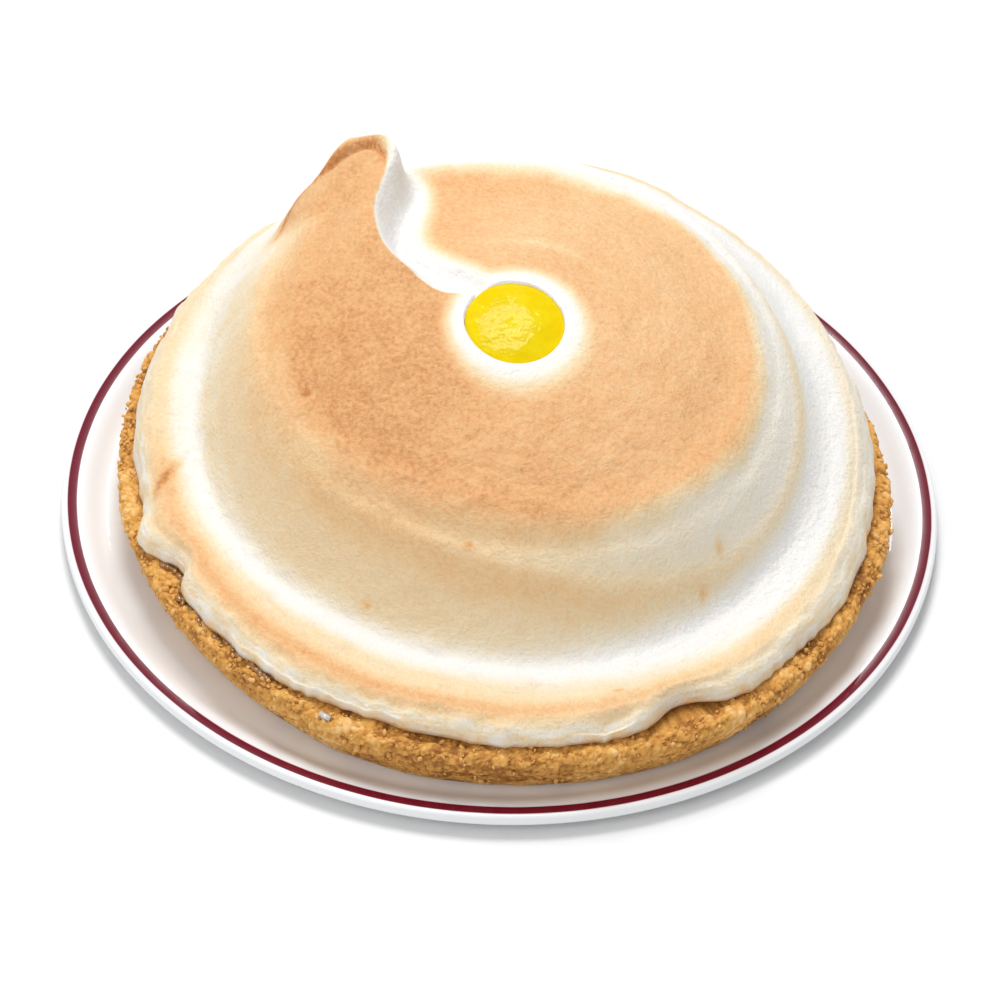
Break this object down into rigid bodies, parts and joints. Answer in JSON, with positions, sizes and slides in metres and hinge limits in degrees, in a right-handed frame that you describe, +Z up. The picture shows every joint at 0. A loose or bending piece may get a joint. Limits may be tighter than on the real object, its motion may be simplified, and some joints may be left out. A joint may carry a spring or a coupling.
{
  "type": "lemon meringue pie",
  "caption": "Whole lemon meringue pie with a swirled, browned meringue dome, a curled peak and a spot of lemon curd, on a round lined plate.",
  "frame": {"origin": "bottom centre of the plate: the middle of the circle that its foot ring stands on", "axes": "+Z up, -Y towards the front of the pie (the side seen first), +X to the right seen from the front"},
  "size_m": [0.273, 0.273, 0.0996],
  "materials": {
    "plate_glaze": "white glazed porcelain with a dark red line near the lip",
    "crumb_crust": "golden baked biscuit crumb, coarse and dull",
    "baked_meringue": "baked meringue, browned on the ridges and white in the troughs, soft satin",
    "lemon_curd": "glossy set lemon curd"
  },
  "bodies": {
    "root": {"plate": "plate_glaze", "crust": "crumb_crust", "meringue": "baked_meringue", "lemon_curd": "lemon_curd"}
  },
  "joints": []
}
